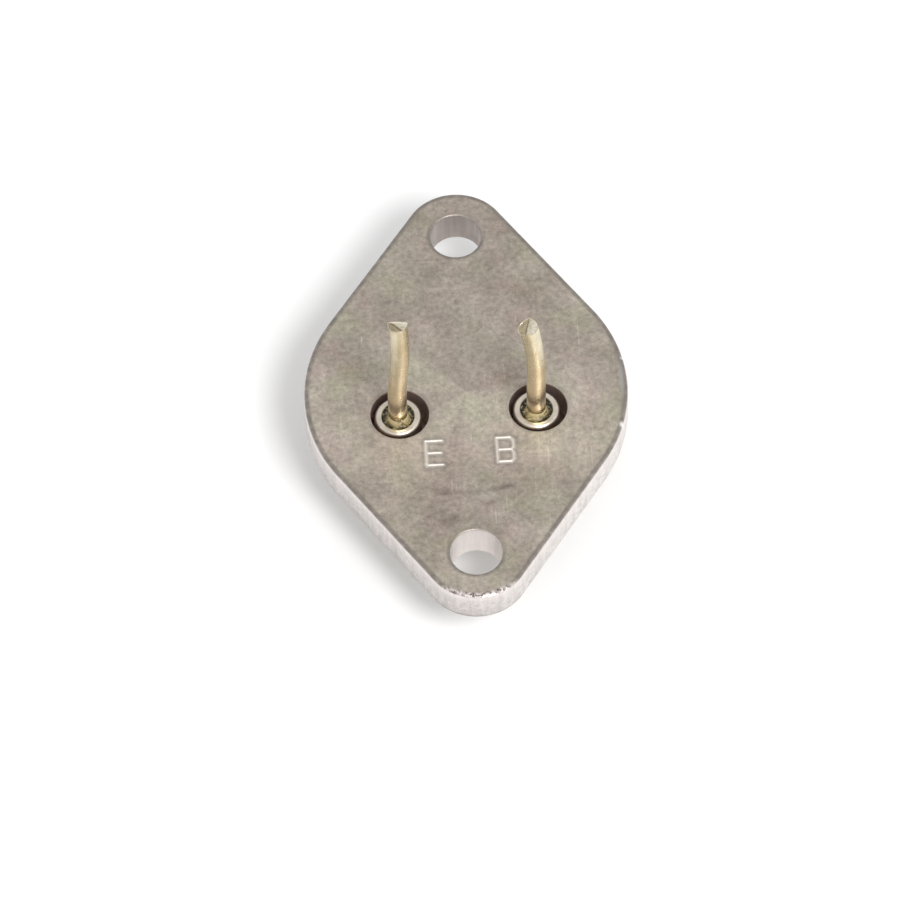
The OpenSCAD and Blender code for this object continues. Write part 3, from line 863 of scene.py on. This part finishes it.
def seal_glass():
    """Glossy olive glass. Beside the lead its colour is the lead's gold, partly showing through and partly a
    painted reflection that reaches furthest on the side of the near mounting hole. Further out it darkens,
    partly as it gets deeper and partly in painted shade. Bright specks are painted glints, and flow lines
    ripple its fire-polished face."""
    material, out = bare_material("seal_glass")
    shader = shader_node(material, "BsdfPrincipled", Metallic=0.0, IOR=1.52, Roughness=0.08)
    shader.inputs["Transmission Weight"].default_value = 0.35
    material.node_tree.links.new(shader.outputs[0], out.inputs["Surface"])
    where = shader_node(material, "TexCoord").outputs["Object"]
    outward = marked(material, "outward")
    uneven = mottle(material, where, 0.30, 0.62, 1.5)
    shown = maths(material, "MULTIPLY", outward, uneven, use_clamp=True)
    # Gold beside the lead, partly showing through and partly a painted reflection, darkening further out in
    # painted shade.
    body = ramp(material, shown, (0.0, colour(248, 228, 178)), (0.22, colour(212, 191, 136)),
                (0.40, colour(138, 121, 76)), (0.62, colour(72, 61, 35)), (0.86, colour(40, 33, 19)))
    # Bright specks: painted glints.
    painted_glint = ramp(material, speckle(material, where, 0.13, 3, 0.7), (0.56, 0.0), (0.64, 0.85))
    body = blend(material, painted_glint, body, colour(238, 224, 180))
    clot = ramp(material, speckle(material, where, 0.17, 3, 0.7), (0.38, 0.30), (0.50, 1.0))
    body = toned(material, body, clot)
    flow = relief_normal(material, speckle(material, where, 0.16, 2), 0.045)
    plug_in(material, shader, Base_Color=body, Normal=flow)
    return material


glass_finish = seal_glass()
for end, place in lead_places.items():
    bead_low, bead_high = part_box(end + "_glass")
    t = np.linspace(0, 1, 25)
    across = lead_r - wetting + (eyelet_bore_r - lead_r + 2 * wetting) * t
    hollow = glass_hollow * (1 - (2 * t - 1) ** 2)
    climb = glass_climb * np.exp(-t / climb_fade)
    top_face = np.stack([across, bead_high.z - hollow + climb], axis=1)
    low_face = np.stack([across, bead_low.z + hollow], axis=1)[::-1]
    seal = turned(end + "_seal", [top_face, low_face], ring_steps, place, glass_finish)
    at = np.empty(3 * len(seal.data.vertices))
    seal.data.vertices.foreach_get("co", at)
    from_lead = np.hypot(at[0::3] - place[0], at[1::3] - place[1]) - lead_r
    # The painted reflection reaches further on the side towards the near mounting hole.
    to_near_hole = (place[1] - at[1::3]) / (from_lead + lead_r)
    outward = (1.2 - 0.4 * to_near_hole) * from_lead / (eyelet_bore_r - lead_r)
    mark(seal, "outward", np.clip(outward, 0, 1))
    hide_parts(end + "_glass")
    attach(seal, "root")

# ---- Leads -----------------------------------------------------------------------------
# Each lead is one gold-plated wire through the glass, straight where it leaves the plate and a
# little bent above. Side cutters clipped it: two slopes meet in a ridge across the tip, the wire's
# core is bare there, and the squeezed metal stands out as a slight burr.

lead_steps = 72
foot_rows = 4
post_edge = 0.2 * mm
tip_length = 0.8 * mm
squeeze_reach = 1.6 * mm
burr_height = 0.035 * mm
burr_fade = 0.22 * mm
burr_share = 0.95
cut_rings = (0.965, 0.92, 0.75, 0.5, 0.25, 0.0)
crease = np.radians(25)
leads = {
    "emitter": dict(bend=dict(straight=2.0 * mm, lean=5.5, lean_r=35 * mm, return_r=45 * mm),
                    ridge=172, slopes=(6, 50), burr=0.08, burr_turn=180, parting=46, off_middle=0.16),
    "base": dict(bend=dict(straight=2.4 * mm, lean=2.0, lean_r=30 * mm, return_r=34 * mm),
                 ridge=75, slopes=(24, 18), burr=0.16, burr_turn=195, parting=-15, off_middle=0.0),
}


def wire_line(length, straight, lean, lean_r, return_r):
    """Middle line of a bent wire by distance along it: it heads straight up, turns by lean degrees towards +X
    on one radius, and then turns back towards -X on the other. Returns distance, side, height and heading."""
    first = np.radians(lean) * lean_r
    along = np.concatenate([np.linspace(0, straight, 5)[:-1],
                            np.linspace(straight, straight + first, 16)[:-1],
                            np.linspace(straight + first, length - tip_length, 30)[:-1],
                            np.linspace(length - tip_length, length, 14)])
    heading = np.clip((along - straight) / lean_r, 0, np.radians(lean))
    heading = heading - np.clip(along - straight - first, 0, None) / return_r
    step = np.diff(along)
    middle = (heading[1:] + heading[:-1]) / 2
    side = np.concatenate([[0], np.cumsum(step * np.sin(middle))])
    height = np.concatenate([[0], np.cumsum(step * np.cos(middle))])
    return along, side, height, heading


def lead_gold():
    """Thin pale gold over nickel: satin, with smooth lengthwise bands, lighter and warmer lower down in a
    painted reflection of the plate, and browner at the foot. Across the clipped tip the grey-beige core is
    bare: one side is torn and dull with painted shade, the other burnished and bright with a painted
    highlight, and a line of painted shade lies between."""
    material, shader, where = metal("gold_plate")
    patch = mottle(material, where, 1.1, colour(222, 211, 180), colour(247, 238, 212))
    stretch = shader_node(material, "Mapping", where, Scale=(1, 1, 0.03))
    line = mottle(material, stretch, 0.16, 0.86, 1.05, edge=0.28)
    height = shader_node(material, "SeparateXYZ", where).outputs["Z"]
    # Lighter, warmer colour low on the lead: a painted reflection of the plate.
    low = shader_node(material, "MapRange", height, 1.0 * mm, 8.5 * mm, 0.75, 0.0)
    foot = shader_node(material, "MapRange", height, -0.1 * mm, 0.9 * mm, 0.7, 0.0)
    gold = blend(material, low, toned(material, patch, line), toned(material, colour(250, 231, 198), line))
    gold = blend(material, foot, gold, colour(228, 208, 150))
    # Across the cut: the torn side dull with painted shade, a line of painted shade, and the burnished side
    # bright with a painted highlight.
    cut_zones_and_shading = ramp(material, marked(material, "parting"), (0.40, colour(190, 176, 148)),
                  (0.46, colour(124, 113, 92)), (0.52, colour(226, 216, 190)), (0.75, colour(250, 243, 222)))
    rough_cut = mottle(material, where, 0.13, 0.66, 1.12, 3, 0.7)
    cut = marked(material, "cut")
    base = blend(material, cut, gold, toned(material, cut_zones_and_shading, rough_cut))
    dull = blend(material, cut, mottle(material, where, 0.5, 0.24, 0.33), (0.44, 0.44, 0.44, 1))
    drawn = relief_normal(material, speckle(material, stretch, 0.16, 2), 0.002)
    plug_in(material, shader, Base_Color=base, Roughness=dull, Normal=drawn)
    return material


gold_finish = lead_gold()


def clipped_lead(name, bend, ridge, slopes, burr, burr_turn, parting, off_middle):
    """The wire is a circle carried along its middle line. At the tip each fibre of the wire stops where the
    cutter's slope crosses it: it falls short by its distance from the ridge times the slope on its side."""
    mount = mounts[name + "_lead"]
    place = mount["pos_m"]
    length = mount["dims"]["length_mm"] * mm
    along, side, height, heading = wire_line(length, **bend)
    a = np.radians(ridge) + np.linspace(0, 2 * np.pi, lead_steps, endpoint=False)
    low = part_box(name + "_lead")[0].z
    rise = np.concatenate([[low, low, low + post_edge, low + 1.2 * post_edge], height])
    shift = np.concatenate([np.zeros(foot_rows), side])
    turn = np.concatenate([np.zeros(foot_rows), heading])
    r = np.concatenate([[0, lead_r - post_edge], np.full(len(rise) - 2, lead_r)])
    to_tip = np.concatenate([np.full(foot_rows, length), length - along])
    towards_burr = 0.5 + 0.5 * np.cos(a - np.radians(burr_turn))
    spread = 1 + burr * np.exp(-to_tip / burr_fade)[:, None] * towards_burr ** 2

    def falls_short(share):
        """How far short of the ridge the cut face is, at a share of the radius out from the middle."""
        off = share * lead_r * np.sin(a - np.radians(ridge))
        return np.abs(off) * np.tan(np.radians(np.where(off > 0, slopes[0], slopes[1])))

    across = np.cos(a) * r[:, None] * spread
    deep = np.sin(a) * r[:, None] * spread
    back = falls_short(1.0) * np.clip(1 - to_tip / squeeze_reach, 0, 1)[:, None]
    rim_across = across[-1:]
    rim_deep = deep[-1:]
    rim_rows = len(rise)
    for share in cut_rings:
        across = np.concatenate([across, rim_across * share])
        deep = np.concatenate([deep, rim_deep * share])
        back = np.concatenate([back, falls_short(share)[None, :] + burr_height * (share < burr_share)])
    row = np.minimum(np.arange(len(across)), rim_rows - 1)
    shift, rise, turn = (values[row][:, None] for values in (shift, rise, turn))
    x = place[0] + shift + across * np.cos(turn) - back * np.sin(turn)
    z = rise - across * np.sin(turn) - back * np.cos(turn)
    grid = np.stack([x, place[1] + deep, z], axis=2)
    piece = shape(name + "_pin", grid.reshape(-1, 3).tolist(),
                  ring_faces(len(grid), lead_steps).tolist(), gold_finish)
    cut = np.zeros(across.shape)
    cut[rim_rows + 1:] = 1
    split = across * np.cos(np.radians(parting)) + deep * np.sin(np.radians(parting))
    mark(piece, "cut", cut)
    mark(piece, "parting", 0.5 + 0.5 * split / lead_r + off_middle)
    weld_doubles(piece)
    piece.data.set_sharp_from_angle(angle=crease)
    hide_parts(name + "_lead")
    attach(piece, "root")


for name, clipping in leads.items():
    clipped_lead(name, **clipping)

# ---- Heat spreader and die -------------------------------------------------------------
# Inside the can a copper block is brazed under the plate. The silicon die is soldered to it, with
# the emitter's comb of aluminium fingers on its free face.

finger_pitch = 0.55 * mm
finger_edge = 0.1
die_border = 0.35 * mm


def spreader_copper():
    """Annealed copper: salmon, rainbow-dulled in patches by the braze's heat, with fine rolling lines."""
    material, shader, where = metal("spreader_copper")
    patch = ramp(material, speckle(material, where, 1.4, 4), (0.28, colour(196, 124, 92)),
                 (0.55, colour(214, 146, 112)), (0.78, colour(222, 160, 130)))
    rolled = shader_node(material, "Mapping", where, Scale=(1, 0.04, 1))
    line = mottle(material, rolled, 0.08, 0.90, 1.05, edge=0.28)
    dull = mottle(material, where, 0.7, 0.28, 0.44)
    fine = relief_normal(material, speckle(material, rolled, 0.10, 3), 0.004)
    plug_in(material, shader, Base_Color=toned(material, patch, line), Roughness=dull, Normal=fine)
    return material


def soft_solder():
    """Tin-lead solder: bluish grey, smooth and frosted in patches where it froze last."""
    material, shader, where = metal("soft_solder")
    patch = mottle(material, where, 0.35, colour(176, 178, 182), colour(206, 208, 212), 4)
    dull = mottle(material, where, 0.25, 0.22, 0.48, 4, 0.7)
    frost = relief_normal(material, speckle(material, where, 0.10, 3, 0.7), 0.006)
    plug_in(material, shader, Base_Color=patch, Roughness=dull, Normal=frost)
    return material


def die_silicon():
    """Polished blue-grey silicon. Aluminium fingers a few tenths of a millimetre wide lie side by side across
    it, and end short of a bare border."""
    material, out = bare_material("die_silicon")
    shader = shader_node(material, "BsdfPrincipled")
    material.node_tree.links.new(shader.outputs[0], out.inputs["Surface"])
    where = shader_node(material, "TexCoord").outputs["Object"]
    die_low, die_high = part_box("die")
    middle = (die_low + die_high) / 2
    centred = shader_node(material, "VectorMath", where, list(middle), operation="SUBTRACT")
    apart = shader_node(material, "VectorMath", centred, operation="ABSOLUTE")
    x, y, _ = shader_node(material, "SeparateXYZ", apart).outputs
    reach = (die_high - die_low) / 2
    free_x = maths(material, "LESS_THAN", x, reach.x - die_border)
    free_y = maths(material, "LESS_THAN", y, reach.y - die_border)
    sideways = shader_node(material, "SeparateXYZ", centred).outputs["X"]
    wave = maths(material, "MULTIPLY", sideways, 2 * np.pi / finger_pitch)
    finger = maths(material, "GREATER_THAN", maths(material, "COSINE", wave), finger_edge)
    metallised = maths(material, "MULTIPLY", finger, maths(material, "MULTIPLY", free_x, free_y))
    silicon = mottle(material, where, 0.8, colour(70, 74, 92), colour(96, 98, 112))
    aluminium = mottle(material, where, 0.12, colour(196, 194, 190), colour(222, 220, 216))
    dull = mottle(material, where, 0.3, 0.14, 0.26)
    stepped = relief_normal(material, metallised, 0.004)
    base = blend(material, metallised, silicon, aluminium)
    plug_in(material, shader, Base_Color=base, Roughness=dull, Metallic=metallised, Normal=stepped)
    return material


solder_finish = soft_solder()
dress(spreader_copper(), "heat_spreader")
dress(solder_finish, "die_solder")
dress(die_silicon(), "die")

# ---- Clips -----------------------------------------------------------------------------
# A bent strip of tinned copper leads from the inner end of each lead to its contact on the die.
# It is soldered at both ends.


def clip_tin():
    """Hot-dipped tin on strip: bright grey, with long drag marks and a few thin spots where copper shows."""
    material, shader, where = metal("clip_tin")
    patch = mottle(material, where, 0.6, colour(188, 187, 184), colour(216, 215, 211))
    thin = ramp(material, speckle(material, where, 0.9, 2), (0.66, 0.0), (0.80, 0.35))
    drag = shader_node(material, "Mapping", where, Scale=(0.08, 1, 1))
    line = mottle(material, drag, 0.10, 0.92, 1.04, edge=0.28)
    base = blend(material, thin, toned(material, patch, line), colour(206, 160, 132))
    dull = mottle(material, where, 0.4, 0.22, 0.36)
    fine = relief_normal(material, speckle(material, drag, 0.12, 3), 0.003)
    plug_in(material, shader, Base_Color=base, Roughness=dull, Normal=fine)
    return material


dress(clip_tin(), "emitter_clip", "base_clip")
for joint in ("contact", "post"):
    dress(solder_finish, "emitter_" + joint + "_solder", "base_" + joint + "_solder")
